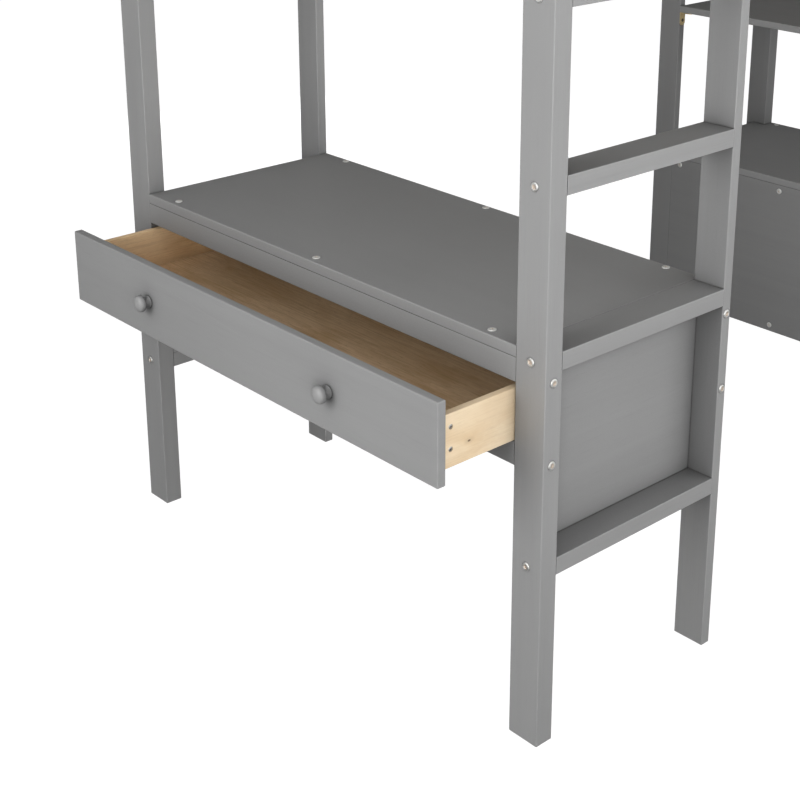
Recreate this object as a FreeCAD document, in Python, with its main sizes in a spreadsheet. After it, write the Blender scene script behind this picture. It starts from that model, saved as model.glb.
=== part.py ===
import FreeCAD, Part
import os
import re

import Sketcher

# Twin loft bed: a desk bay with a drawer at the front end, a low cabinet bay with a
# shelf at the rear end, a ladder on the right side of the desk bay and the bed on top.
#
# Every expression below is written in bed coordinates, in millimetres: x from the left
# side to the right, y from the front end to the rear, z up from the floor. The finished
# sub-parts are moved by PLACE_X and PLACE_Y, so that the origin lies on the floor at the
# middle of the whole box, which includes the drawer as it stands, part open.

DIMENSIONS = {
    # whole bed
    "width_x": 1112,
    "length_y": 2006,
    "post_top": 1800,
    # posts
    "post_w": 61,
    "outer_post_d": 34.5,
    "inner_post_d": 20,
    "bay_d": 431,
    "post_ease": 1.5,
    # ladder rungs and the low side rail, all of one section
    "rung_h": 29.4,
    "rung_pitch": 266.3,
    "low_rung_top": 324.4,
    "rail_ease": 1,
    # desk
    "desk_top": 663,
    "desk_t": 18.5,
    "desk_rail_h": 39.2,
    "desk_low_rail_z": 469.3,
    "panel_t": 9,
    "panel_ease": 0.8,
    "runner_w": 20,
    "runner_h": 18,
    "board_ease": 1.8,
    # drawer
    "drawer_open": 144,
    "front_w": 1002,
    "front_h": 135.5,
    "front_z": 488.2,
    "front_t": 16,
    "box_gap": 2,
    "box_z": 509.2,
    "box_h": 86,
    "box_l": 380,
    "box_side_t": 12,
    "box_ease": 1,
    "groove_up": 8,
    "groove_d": 5,
    "bottom_t": 5,
    "block_w": 30,
    "block_d": 33.4,
    "block_h": 60,
    # knobs
    "knob_x": 252.5,
    "knob_z": 556.5,
    "knob_base_r": 11.2,
    "knob_base_t": 3,
    "knob_neck_r": 6.5,
    "knob_neck_z": 11,
    "knob_head_r": 15.5,
    "knob_head_z": 18.5,
    "knob_dome_r": 11.5,
    "knob_dome_z": 24.5,
    "knob_ease": 1.2,
    "knob_reach": 27,
    "knob_hole_d": 16,
    # cabinet and shelf
    "cabinet_top": 452.3,
    "cabinet_top_t": 17.5,
    "cabinet_overhang": 38,
    "back_panel_z": 48,
    "cabinet_floor_z": 55,
    "cabinet_floor_t": 18,
    "cleat_t": 20,
    "cleat_h": 32,
    "divider_t": 15,
    "panel_screw_inset": 26,
    "shelf_top": 833.2,
    "shelf_t": 16.5,
    "bracket_l": 34,
    "bracket_w": 18.5,
    "bracket_t": 2,
    # bed
    "bed_rail_z": 1355,
    "bed_rail_h": 100,
    "bed_rail_t": 25,
    "ledger_h": 30,
    "ledger_w": 25,
    "slat_count": 12,
    "slat_w": 68,
    "slat_t": 12,
    "guard_low_z": 1560,
    "guard_high_z": 1720,
    "guard_h": 60,
    "guard_t": 20,
    "guard_inset": 5,
    "stile_w": 45,
    "stile_t": 20,
    # fasteners
    "bolt_r": 3,
    "bolt_play": 0.05,
    "bolt_head_r": 7,
    "bolt_head_h": 2,
    "bolt_socket_r": 2,
    "bolt_grip": 38,
    "side_bolt_gap": 54,
    "end_bolt_gap": 26,
    "guard_bolt_shift": 10,
    "rung_bolt_drop": 1.5,
    "cap_inset_left": 76,
    "cap_inset_right": 68,
    "rear_cap_shift": 5.5,
    "desk_bolt_drop": 6.4,
    "desk_low_bolt_drop": 3,
    "screw_r": 2,
    "screw_head_r": 4,
    "screw_head_h": 1.2,
    "drawer_screw_gap": 35.6,
}

PLACE_X = "-width_x / 2"
PLACE_Y = "-(length_y + bolt_head_h - drawer_open - front_t - knob_reach) / 2"

doc = FreeCAD.newDocument("loft_bed")
sheet = doc.addObject("Spreadsheet::Sheet", "dims")
for row, (alias, value) in enumerate(DIMENSIONS.items(), start=1):
    sheet.set("A%d" % row, alias)
    sheet.set("B%d" % row, str(value))
    sheet.setAlias("B%d" % row, alias)
doc.recompute()

ALIAS_WORD = re.compile(r"\b(%s)\b" % "|".join(sorted(DIMENSIONS, key=len, reverse=True)))
subparts = []


def bound(expression):
    """The expression with each dimension's name pointed at its cell in the sheet."""
    return ALIAS_WORD.sub(r"dims.\1", str(expression))


def size(name):
    """A dimension's value, read back from the sheet."""
    return float(getattr(sheet, name))


def bind(item, prop, expression):
    item.setExpression(prop, bound(expression))


def set_corner(item, x, y, z):
    bind(item, "Placement.Base.x", x)
    bind(item, "Placement.Base.y", y)
    bind(item, "Placement.Base.z", z)


def finish(item, label):
    """Name a finished sub-part and move it from bed coordinates to the origin."""
    item.Label = label
    bind(item, "Placement.Base.x", PLACE_X)
    bind(item, "Placement.Base.y", PLACE_Y)
    subparts.append(item)
    return item


def box(name, corner, sizes):
    item = doc.addObject("Part::Box", name)
    for prop, expression in zip(("Length", "Width", "Height"), sizes):
        bind(item, prop, expression)
    set_corner(item, *corner)
    return item


def eased(item, name, ease, axes):
    """Round the edges of a block that run along the named axes."""
    doc.recompute()
    radius = size(ease)
    picked = []
    for number, edge in enumerate(item.Shape.Edges, start=1):
        start, end = edge.Vertexes[0].Point, edge.Vertexes[-1].Point
        run = end - start
        along = max("xyz", key=lambda axis: abs(getattr(run, axis)))
        if along in axes:
            picked.append((number, radius, radius))
    rounded = doc.addObject("Part::Fillet", name)
    rounded.Base = item
    rounded.Edges = picked
    return rounded


TURNS = {
    "+x": FreeCAD.Rotation(FreeCAD.Vector(0, 1, 0), 90),
    "-x": FreeCAD.Rotation(FreeCAD.Vector(0, 1, 0), -90),
    "+y": FreeCAD.Rotation(FreeCAD.Vector(1, 0, 0), -90),
    "-y": FreeCAD.Rotation(FreeCAD.Vector(1, 0, 0), 90),
    "+z": FreeCAD.Rotation(),
    "-z": FreeCAD.Rotation(FreeCAD.Vector(1, 0, 0), 180),
}


def drill(name, start, direction, radius, depth):
    """A cutter that starts at a point and runs in a direction such as "+x"."""
    item = doc.addObject("Part::Cylinder", name)
    bind(item, "Radius", radius)
    bind(item, "Height", depth)
    item.Placement = FreeCAD.Placement(FreeCAD.Vector(), TURNS[direction])
    set_corner(item, *start)
    return item


def cut(item, name, cutters):
    tool = cutters[0]
    if len(cutters) > 1:
        tool = doc.addObject("Part::MultiFuse", name + "_cutters")
        tool.Shapes = cutters
    result = doc.addObject("Part::Cut", name)
    result.Base = item
    result.Tool = tool
    return result


# ---------------------------------------------------------------------------
# Fasteners: every one is an entry (head x, y, z, direction it is driven in).
# The same list gives the solids and the holes, so the two always agree.

RIGHT_POST_X = "(width_x - post_w)"
POST_MID = "post_w / 2"
RUNG_BOLT_X = "(width_x - post_w / 2)"
BACK_BAY_Y = "(length_y - bay_d)"
# Bolts that cross inside a corner post are set at different heights.
SIDE_RAIL_BOLTS = tuple("(bed_rail_z + bed_rail_h / 2 %s side_bolt_gap / 2)" % sign for sign in "-+")
END_RAIL_BOLTS = tuple("(bed_rail_z + bed_rail_h / 2 %s end_bolt_gap / 2)" % sign for sign in "-+")
SIDE_GUARD_BOLTS = tuple("(%s + guard_h / 2 + guard_bolt_shift)" % z for z in ("guard_low_z", "guard_high_z"))
END_GUARD_BOLTS = tuple("(%s + guard_h / 2 - guard_bolt_shift)" % z for z in ("guard_low_z", "guard_high_z"))
LEFT_RAIL_MID = "(guard_inset + guard_t / 2)"
RIGHT_RAIL_MID = "(width_x - guard_inset - guard_t / 2)"
LOW_RAIL_BOLT = "(low_rung_top - rung_h / 2)"


def rung_top(number):
    """Height of a rung's top: the lowest is 0, and the next is level with the desk."""
    if number == 0:
        return "low_rung_top"
    return "(desk_top + rung_pitch * %d)" % (number - 1)


lengthwise_bolts = []
for number in range(4):
    rung_bolt_z = LOW_RAIL_BOLT if number == 0 else "(%s - rung_h / 2 - rung_bolt_drop)" % rung_top(number)
    lengthwise_bolts.append((RUNG_BOLT_X, "0", rung_bolt_z, "+y"))
    lengthwise_bolts.append((RUNG_BOLT_X, "bay_d", rung_bolt_z, "-y"))
lengthwise_bolts.append((POST_MID, "0", LOW_RAIL_BOLT, "+y"))
lengthwise_bolts.append((POST_MID, "bay_d", LOW_RAIL_BOLT, "-y"))
for rail_x in (LEFT_RAIL_MID, RIGHT_RAIL_MID):
    for bolt_z in SIDE_RAIL_BOLTS:
        lengthwise_bolts.append((rail_x, "0", bolt_z, "+y"))
        lengthwise_bolts.append((rail_x, "length_y", bolt_z, "-y"))
    for bolt_z in SIDE_GUARD_BOLTS:
        lengthwise_bolts.append((rail_x, "length_y", bolt_z, "-y"))
for bolt_z in SIDE_GUARD_BOLTS:
    lengthwise_bolts.append((LEFT_RAIL_MID, "0", bolt_z, "+y"))

desk_bolt_heights = (
    "(desk_top - desk_t - desk_rail_h / 2 - desk_bolt_drop)",
    "(desk_low_rail_z + desk_rail_h / 2 - desk_low_bolt_drop)",
)
end_bolt_heights = END_RAIL_BOLTS + END_GUARD_BOLTS
crosswise_bolts = []
for side_x, direction in (("0", "+x"), ("width_x", "-x")):
    for bolt_z in desk_bolt_heights:
        crosswise_bolts.append((side_x, "outer_post_d / 2", bolt_z, direction))
        crosswise_bolts.append((side_x, "(bay_d - inner_post_d / 2)", bolt_z, direction))
    for bolt_z in end_bolt_heights:
        crosswise_bolts.append((side_x, "outer_post_d / 2", bolt_z, direction))
        crosswise_bolts.append((side_x, "(length_y - outer_post_d / 2)", bolt_z, direction))

FRONT_CAPS_Y = "outer_post_d / 2"
REAR_CAPS_Y = "(bay_d - inner_post_d / 2)"
desk_screws = [
    ("(post_w + cap_inset_left)", FRONT_CAPS_Y, "desk_top", "-z"),
    ("(post_w + cap_inset_left)", REAR_CAPS_Y, "desk_top", "-z"),
    ("width_x / 2", FRONT_CAPS_Y, "desk_top", "-z"),
    ("(width_x / 2 - rear_cap_shift)", REAR_CAPS_Y, "desk_top", "-z"),
    ("(width_x - post_w - cap_inset_right)", FRONT_CAPS_Y, "desk_top", "-z"),
    ("(width_x - post_w - cap_inset_right)", REAR_CAPS_Y, "desk_top", "-z"),
]

COLUMN_PITCH = "((width_x - 2 * post_w - 2 * panel_screw_inset) / 3)"
panel_columns = ["(post_w + panel_screw_inset + %s * %d)" % (COLUMN_PITCH, n) for n in range(4)]
panel_rows = (
    "(cabinet_top - cabinet_top_t - cleat_h / 2)",
    "(cabinet_floor_z + cabinet_floor_t / 2)",
)
panel_screws = [(x, BACK_BAY_Y, z, "+y") for x in panel_columns for z in panel_rows]
for across in (panel_columns[0], panel_columns[3]):
    panel_screws.append((across, "(length_y - 14)", "cabinet_top", "-z"))


def evaluate(expression):
    """The value of an expression of dimensions, from the sheet's own cells."""
    probe.setExpression("answer", bound(expression))
    probe.recompute()
    return float(probe.answer)


def fastener(head_r, head_h, shank_r, length, socket_r):
    """A domed head on z >= 0 with a socket, and a shank that runs down from it."""
    dome = Part.makeCone(head_r, head_r * 0.62, head_h)
    socket = Part.makeCylinder(socket_r, head_h * 0.7, FreeCAD.Vector(0, 0, head_h * 0.3))
    shank = Part.makeCylinder(shank_r, length, FreeCAD.Vector(), FreeCAD.Vector(0, 0, -1))
    return dome.cut(socket).fuse(shank).removeSplitter()


HEAD_UP = {
    "+x": TURNS["-x"],
    "-x": TURNS["+x"],
    "+y": TURNS["-y"],
    "-y": TURNS["+y"],
    "-z": TURNS["+z"],
}


def fastener_group(label, entries, master):
    """One sub-part that holds a separate solid for each fastener of one kind."""
    solids = []
    for x, y, z, direction in entries:
        point = FreeCAD.Vector(evaluate(x), evaluate(y), evaluate(z))
        solid = master.copy()
        solid.Placement = FreeCAD.Placement(point, HEAD_UP[direction])
        solids.append(solid)
    group = doc.addObject("Part::Feature", label)
    group.Shape = Part.makeCompound(solids)
    return finish(group, label)


def holes_for(name, entries, radius, depth, wanted):
    """Cutters for the fasteners that pass the test, run from the head's face."""
    cutters = []
    for number, entry in enumerate(entries):
        if wanted(*entry):
            x, y, z, direction = entry
            start = (x, y, z)
            cutters.append(drill("%s_hole_%d" % (name, number), start, direction, radius, depth))
    return cutters


# The probe only works expressions out; it is removed before the parts are written.
probe = doc.addObject("App::FeaturePython", "probe")
probe.addProperty("App::PropertyFloat", "answer")


def inside(corner, sizes, margin=0.5):
    """A test for fasteners whose shank passes through a block."""
    low = [evaluate(value) for value in corner]
    high = [start + evaluate(value) for start, value in zip(low, sizes)]

    def test(x, y, z, direction):
        head = [evaluate(x), evaluate(y), evaluate(z)]
        axis = "xyz".index(direction[1])
        reach = size("outer_post_d") + size("bolt_grip")
        if axis == 0:
            reach = size("post_w") + size("bolt_grip")
        step = reach if direction[0] == "+" else -reach
        for index in range(3):
            near = min(head[index], head[index] + (step if index == axis else 0))
            far = max(head[index], head[index] + (step if index == axis else 0))
            if far < low[index] + margin or near > high[index] - margin:
                return False
        return True

    return test


LENGTHWISE_DEPTH = "(outer_post_d + bolt_grip)"
CROSSWISE_DEPTH = "(post_w + bolt_grip)"
BOLT_HOLE_R = "(bolt_r + bolt_play)"


def timber(label, corner, sizes, ease, axes):
    """A length of wood with eased edges, drilled for the bolts that pass through it."""
    stock = box(label + "_stock", corner, sizes)
    wood = eased(stock, label + "_wood", ease, axes)
    test = inside(corner, sizes)
    cutters = holes_for(label + "_y", lengthwise_bolts, BOLT_HOLE_R, LENGTHWISE_DEPTH, test)
    cutters += holes_for(label + "_x", crosswise_bolts, BOLT_HOLE_R, CROSSWISE_DEPTH, test)
    if cutters:
        wood = cut(wood, label + "_drilled", cutters)
    return finish(wood, label)


# ---------------------------------------------------------------------------
# Posts: four thick ones at the corners, four thin ones at the inner ends of the bays.

OUTER_SIZE = ("post_w", "outer_post_d", "post_top")
INNER_SIZE = ("post_w", "inner_post_d", "bed_rail_z")
REAR_POST_Y = "(length_y - outer_post_d)"
DESK_POST_Y = "(bay_d - inner_post_d)"

for label, corner, sizes in (
    ("post_front_left", ("0", "0", "0"), OUTER_SIZE),
    ("post_front_right", (RIGHT_POST_X, "0", "0"), OUTER_SIZE),
    ("post_rear_left", ("0", REAR_POST_Y, "0"), OUTER_SIZE),
    ("post_rear_right", (RIGHT_POST_X, REAR_POST_Y, "0"), OUTER_SIZE),
    ("desk_post_left", ("0", DESK_POST_Y, "0"), INNER_SIZE),
    ("desk_post_right", (RIGHT_POST_X, DESK_POST_Y, "0"), INNER_SIZE),
    ("cabinet_post_left", ("0", BACK_BAY_Y, "0"), INNER_SIZE),
    ("cabinet_post_right", (RIGHT_POST_X, BACK_BAY_Y, "0"), INNER_SIZE),
):
    timber(label, corner, sizes, "post_ease", "xyz")

# ---------------------------------------------------------------------------
# Ladder rungs on the right of the desk bay, and the low rail opposite them.

RUNG_L = "(bay_d - outer_post_d - inner_post_d)"

for number in range(4):
    timber(
        "ladder_rung_%d" % (number + 1),
        (RIGHT_POST_X, "outer_post_d", "(%s - rung_h)" % rung_top(number)),
        ("post_w", RUNG_L, "rung_h"),
        "rail_ease",
        "y",
    )
timber(
    "left_low_rail",
    ("0", "outer_post_d", "(low_rung_top - rung_h)"),
    ("post_w", RUNG_L, "rung_h"),
    "rail_ease",
    "y",
)

# ---------------------------------------------------------------------------
# Desk bay: two rails across the front, two across the rear, side panels and the top.

CLEAR_W = "(width_x - 2 * post_w)"
UPPER_RAIL_Z = "(desk_top - desk_t - desk_rail_h)"

for label, y, depth, z in (
    ("desk_front_upper_rail", "0", "outer_post_d", UPPER_RAIL_Z),
    ("desk_front_lower_rail", "0", "outer_post_d", "desk_low_rail_z"),
    ("desk_rear_upper_rail", DESK_POST_Y, "inner_post_d", UPPER_RAIL_Z),
    ("desk_rear_lower_rail", DESK_POST_Y, "inner_post_d", "desk_low_rail_z"),
):
    corner = ("post_w", y, z)
    sizes = (CLEAR_W, depth, "desk_rail_h")
    if label.endswith("lower_rail"):
        timber(label, corner, sizes, "rail_ease", "x")
        continue
    stock = box(label + "_stock", corner, sizes)
    wood = eased(stock, label + "_wood", "rail_ease", "x")
    test = inside(corner, sizes)
    cutters = holes_for(label + "_x", crosswise_bolts, BOLT_HOLE_R, CROSSWISE_DEPTH, test)
    cutters += holes_for(label + "_z", desk_screws, "screw_r", "(desk_t + desk_rail_h - 8)", test)
    finish(cut(wood, label + "_drilled", cutters), label)

# The right panel ends under the ladder's rung, the left one laps the desktop's edge.
for side, x, panel_top in (
    ("left", "(post_w - panel_t)", "(desk_top - desk_t / 2)"),
    ("right", RIGHT_POST_X, "(desk_top - rung_h)"),
):
    panel = box(
        "desk_panel_stock_" + side,
        (x, "outer_post_d", "low_rung_top"),
        ("panel_t", RUNG_L, "(%s - low_rung_top)" % panel_top),
    )
    finish(eased(panel, "desk_panel_wood_" + side, "panel_ease", "y"), "desk_panel_" + side)

for side, x in (("left", "post_w"), ("right", "(width_x - post_w - runner_w)")):
    runner = box(
        "runner_stock_" + side,
        (x, "outer_post_d", "(desk_low_rail_z + desk_rail_h - runner_h)"),
        ("runner_w", RUNG_L, "runner_h"),
    )
    finish(eased(runner, "runner_wood_" + side, "box_ease", "y"), "drawer_runner_" + side)

desk_stock = box("desk_top_stock", ("post_w", "0", "(desk_top - desk_t)"), (CLEAR_W, "bay_d", "desk_t"))
desk_wood = eased(desk_stock, "desk_top_wood", "board_ease", "xy")
desk_holes = [
    drill("desk_top_hole_%d" % number, (x, y, z), direction, "screw_r", "desk_t")
    for number, (x, y, z, direction) in enumerate(desk_screws)
]
finish(cut(desk_wood, "desk_top_drilled", desk_holes), "desktop")

# ---------------------------------------------------------------------------
# Drawer. It stands open by drawer_open; y is measured from the back of its front.

FRONT_BACK_Y = "(-drawer_open)"
BOX_LEFT_X = "(post_w + box_gap)"
BOX_RIGHT_X = "(width_x - post_w - box_gap)"
BOX_INNER_W = "(width_x - 2 * post_w - 2 * box_gap - 2 * box_side_t)"
BOTTOM_Z = "(box_z + groove_up)"
DRAWER_MID_Z = "(front_z + front_h / 2)"

knob_places = {"left": "(width_x / 2 - knob_x)", "right": "(width_x / 2 + knob_x)"}

front_stock = box(
    "drawer_front_stock",
    ("(width_x - front_w) / 2", "(-drawer_open - front_t)", "front_z"),
    ("front_w", "front_t", "front_h"),
)
front_wood = eased(front_stock, "drawer_front_wood", "board_ease", "xyz")
front_cutters = [
    drill("front_hole_" + side, (x, FRONT_BACK_Y, "knob_z"), "-y", "screw_r", "front_t")
    for side, x in knob_places.items()
]
front_cutters.append(
    box(
        "front_groove",
        ("(post_w + box_gap + box_side_t - groove_d)", "(-drawer_open - groove_d)", BOTTOM_Z),
        ("(%s + 2 * groove_d)" % BOX_INNER_W, "groove_d", "bottom_t"),
    )
)
finish(cut(front_wood, "drawer_front_cut", front_cutters), "drawer_front")

drawer_screws = []
for side_x, direction in ((BOX_LEFT_X, "+x"), (BOX_RIGHT_X, "-x")):
    for along in ("(-drawer_open + block_d / 2)", "(-drawer_open + box_l - box_side_t / 2)"):
        for sign in "-+":
            height = "(%s %s drawer_screw_gap / 2)" % (DRAWER_MID_Z, sign)
            drawer_screws.append((side_x, along, height, direction))

for side, x, groove_x in (
    ("left", BOX_LEFT_X, "(post_w + box_gap + box_side_t - groove_d)"),
    ("right", "(%s - box_side_t)" % BOX_RIGHT_X, "(%s - box_side_t)" % BOX_RIGHT_X),
):
    name = "drawer_side_" + side
    side_stock = box(name + "_stock", (x, FRONT_BACK_Y, "box_z"), ("box_side_t", "box_l", "box_h"))
    side_wood = eased(side_stock, name + "_wood", "box_ease", "y")
    groove_at = (groove_x, FRONT_BACK_Y, BOTTOM_Z)
    side_cutters = [box(name + "_groove", groove_at, ("groove_d", "box_l", "bottom_t"))]
    for number, (screw_x, screw_y, screw_z, direction) in enumerate(drawer_screws):
        if (direction == "+x") == (side == "left"):
            start = (screw_x, screw_y, screw_z)
            for kind, radius, depth in (
                ("hole", "screw_r", "box_side_t"),
                ("recess", "(screw_head_r + 0.2)", "screw_head_h"),
            ):
                cutter_name = "%s_%s_%d" % (name, kind, number)
                side_cutters.append(drill(cutter_name, start, direction, radius, depth))
    finish(cut(side_wood, name + "_cut", side_cutters), name)

INNER_LEFT_X = "(post_w + box_gap + box_side_t)"
INNER_RIGHT_X = "(%s - box_side_t)" % BOX_RIGHT_X


def screw_pilots(name, test_direction, depth, rows):
    """Pilot holes for the drawer's side screws that end in an inner piece."""
    cutters = []
    for number, (x, y, z, direction) in enumerate(drawer_screws):
        if y == rows and direction in test_direction:
            cutters.append(drill("%s_%d" % (name, number), (x, y, z), direction, "screw_r", depth))
    return cutters


FRONT_SCREW_ROW = drawer_screws[0][1]
BACK_SCREW_ROW = drawer_screws[2][1]
SCREW_L = "(box_side_t + 20)"

back_z = "(%s + bottom_t)" % BOTTOM_Z
back_stock = box(
    "drawer_back_stock",
    (INNER_LEFT_X, "(-drawer_open + box_l - box_side_t)", back_z),
    (BOX_INNER_W, "box_side_t", "(box_h - groove_up - bottom_t)"),
)
back_wood = eased(back_stock, "drawer_back_wood", "box_ease", "x")
back_pilots = screw_pilots("drawer_back_pilot", ("+x", "-x"), SCREW_L, BACK_SCREW_ROW)
finish(cut(back_wood, "drawer_back_cut", back_pilots), "drawer_back")

bottom = box(
    "drawer_bottom_stock",
    ("(%s - groove_d)" % INNER_LEFT_X, "(-drawer_open - groove_d)", BOTTOM_Z),
    ("(%s + 2 * groove_d)" % BOX_INNER_W, "(box_l + groove_d)", "bottom_t"),
)
finish(eased(bottom, "drawer_bottom_ply", "panel_ease", "z"), "drawer_bottom")

blocks = []
for side, x, direction in (
    ("left", INNER_LEFT_X, "+x"),
    ("right", "(%s - block_w)" % INNER_RIGHT_X, "-x"),
):
    block_size = ("block_w", "block_d", "block_h")
    block_stock = box("corner_block_stock_" + side, (x, FRONT_BACK_Y, back_z), block_size)
    block_wood = eased(block_stock, "corner_block_wood_" + side, "box_ease", "z")
    pilots = screw_pilots("block_pilot_" + side, (direction,), SCREW_L, FRONT_SCREW_ROW)
    blocks.append(cut(block_wood, "corner_block_" + side, pilots))
block_pair = doc.addObject("Part::Compound", "corner_block_pair")
block_pair.Links = blocks
finish(block_pair, "drawer_corner_blocks")


# ---------------------------------------------------------------------------
# Knobs: turned in one piece, a foot flange, a waist and a domed head.


def knob(label, x):
    body = doc.addObject("PartDesign::Body", label)
    sketch = body.newObject("Sketcher::SketchObject", label + "_profile")
    plane = next(item for item in body.Origin.OriginFeatures if item.Role == "XZ_Plane")
    sketch.AttachmentSupport = [(plane, "")]
    sketch.MapMode = "FlatFace"
    vertices = [
        ("screw_r", "0"),
        ("knob_base_r", "0"),
        ("knob_base_r", "knob_base_t"),
        ("knob_neck_r", "knob_neck_z"),
        ("knob_head_r", "knob_head_z"),
        ("knob_dome_r", "knob_dome_z"),
        ("0", "knob_reach"),
        ("0", "knob_hole_d"),
        ("screw_r", "knob_hole_d"),
    ]
    points = [
        FreeCAD.Vector(0.0 if r == "0" else size(r), 0.0 if z == "0" else size(z), 0)
        for r, z in vertices
    ]
    count = len(points)
    for index in range(count):
        sketch.addGeometry(Part.LineSegment(points[index], points[(index + 1) % count]))
    for index in range(count):
        sketch.addConstraint(Sketcher.Constraint("Coincident", index, 2, (index + 1) % count, 1))
    for index, (r, z) in enumerate(vertices):
        for kind, expression, value, axis in (
            ("DistanceX", r, points[index].x, -2),
            ("DistanceY", z, points[index].y, -1),
        ):
            if expression == "0":
                sketch.addConstraint(Sketcher.Constraint("PointOnObject", index, 1, axis))
                continue
            number = sketch.addConstraint(Sketcher.Constraint(kind, -1, 1, index, 1, value))
            sketch.setExpression("Constraints[%d]" % number, bound(expression))
    revolve = body.newObject("PartDesign::Revolution", label + "_turned")
    revolve.Profile = sketch
    revolve.ReferenceAxis = (sketch, ["V_Axis"])
    revolve.Angle = 360
    doc.recompute()
    arrises = []
    for number, edge in enumerate(revolve.Shape.Edges, start=1):
        heads = (size("knob_head_r"), size("knob_dome_r"))
        if edge.Curve.TypeId == "Part::GeomCircle" and any(abs(edge.Curve.Radius - r) < 0.01 for r in heads):
            arrises.append("Edge%d" % number)
    softened = body.newObject("PartDesign::Fillet", label + "_softened")
    softened.Base = (revolve, arrises)
    bind(softened, "Radius", "knob_ease")
    body.Tip = softened
    body.Placement = FreeCAD.Placement(FreeCAD.Vector(), TURNS["-y"])
    body.Label = label
    bind(body, "Placement.Base.x", "%s %s" % (x, PLACE_X))
    bind(body, "Placement.Base.y", "(-drawer_open - front_t) %s" % PLACE_Y)
    bind(body, "Placement.Base.z", "knob_z")
    subparts.append(body)


for side, x in knob_places.items():
    knob("drawer_knob_" + side, x)

# ---------------------------------------------------------------------------
# Cabinet bay: back panel towards the desk, floor, dividers, sides, top and shelf.

CABINET_UNDER = "(cabinet_top - cabinet_top_t)"
PANEL_BACK_Y = "(length_y - bay_d + panel_t)"
CABINET_D = "(bay_d - panel_t)"

panel_stock = box(
    "back_panel_stock",
    ("post_w", BACK_BAY_Y, "back_panel_z"),
    (CLEAR_W, "panel_t", "(%s - back_panel_z)" % CABINET_UNDER),
)
panel_wood = eased(panel_stock, "back_panel_wood", "panel_ease", "xz")
through_panel = [entry for entry in panel_screws if entry[3] == "+y"]
panel_cutters = holes_for("back_panel", through_panel, "screw_r", "panel_t", lambda *entry: True)
finish(cut(panel_wood, "back_panel_cut", panel_cutters), "cabinet_back_panel")


def screwed(label, corner, sizes, ease, entries, depth):
    """A cabinet piece that some of the cabinet's screws run into."""
    wood = eased(box(label + "_stock", corner, sizes), label + "_wood", ease, "x")
    cutters = holes_for(label, entries, "screw_r", depth, inside(corner, sizes))
    return cut(wood, label + "_drilled", cutters)


top_screws = [entry for entry in panel_screws if entry[3] == "-z"]
CLEAT_Z = "(%s - cleat_h)" % CABINET_UNDER
cleat_size = (CLEAR_W, "cleat_t", "cleat_h")
near_at = ("post_w", PANEL_BACK_Y, CLEAT_Z)
far_at = ("post_w", "(length_y - cleat_t)", CLEAT_Z)
near_cleat = screwed("cleat_near", near_at, cleat_size, "rail_ease", through_panel, "(panel_t + 16)")
far_cleat = screwed("cleat_far", far_at, cleat_size, "rail_ease", top_screws, "(cabinet_top_t + 10)")
cleats = doc.addObject("Part::Compound", "cleat_pair")
cleats.Links = [near_cleat, far_cleat]
finish(cleats, "cabinet_cleats")

floor_at = ("post_w", PANEL_BACK_Y, "cabinet_floor_z")
floor_size = (CLEAR_W, CABINET_D, "cabinet_floor_t")
cabinet_floor = screwed("floor_board", floor_at, floor_size, "board_ease", through_panel, "(panel_t + 16)")
finish(cabinet_floor, "cabinet_floor")

CABINET_INSIDE_Z = "(cabinet_floor_z + cabinet_floor_t)"
for side, column in (("left", panel_columns[1]), ("right", panel_columns[2])):
    stock = box(
        "divider_stock_" + side,
        ("(%s - divider_t / 2)" % column, "(%s + cleat_t)" % PANEL_BACK_Y, CABINET_INSIDE_Z),
        ("divider_t", "(%s - 2 * cleat_t)" % CABINET_D, "(%s - %s)" % (CABINET_UNDER, CABINET_INSIDE_Z)),
    )
    finish(eased(stock, "divider_wood_" + side, "board_ease", "z"), "cabinet_divider_" + side)

SIDE_Y = "(length_y - bay_d + inner_post_d)"
for side, panel_x, rail_x in (
    ("left", "(post_w - panel_t)", "0"),
    ("right", RIGHT_POST_X, RIGHT_POST_X),
):
    side_rail = box(
        "cabinet_rail_stock_" + side,
        (rail_x, SIDE_Y, "(%s - rung_h)" % CABINET_UNDER),
        ("post_w", RUNG_L, "rung_h"),
    )
    finish(eased(side_rail, "cabinet_rail_wood_" + side, "rail_ease", "y"), "cabinet_rail_" + side)
    side_panel = box(
        "cabinet_side_stock_" + side,
        (panel_x, SIDE_Y, "back_panel_z"),
        ("panel_t", RUNG_L, "(%s - rung_h - back_panel_z)" % CABINET_UNDER),
    )
    finish(eased(side_panel, "cabinet_side_wood_" + side, "panel_ease", "y"), "cabinet_side_" + side)

TOP_Z = CABINET_UNDER
top_field = box("cabinet_top_field", ("post_w", BACK_BAY_Y, TOP_Z), (CLEAR_W, "bay_d", "cabinet_top_t"))
top_ears = box(
    "cabinet_top_ears",
    ("(post_w - cabinet_overhang)", SIDE_Y, TOP_Z),
    ("(%s + 2 * cabinet_overhang)" % CLEAR_W, RUNG_L, "cabinet_top_t"),
)
top_board = doc.addObject("Part::Fuse", "cabinet_top_blank")
top_board.Base = top_field
top_board.Tool = top_ears
top_board.Refine = True
top_wood = eased(top_board, "cabinet_top_wood", "board_ease", "xy")
top_cutters = holes_for("cabinet_top", top_screws, "screw_r", "cabinet_top_t", lambda *entry: True)
finish(cut(top_wood, "cabinet_top_cut", top_cutters), "cabinet_top_board")

shelf_at = ("post_w", BACK_BAY_Y, "(shelf_top - shelf_t)")
shelf_stock = box("shelf_stock", shelf_at, (CLEAR_W, "bay_d", "shelf_t"))
finish(eased(shelf_stock, "shelf_wood", "board_ease", "xy"), "upper_shelf")


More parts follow.
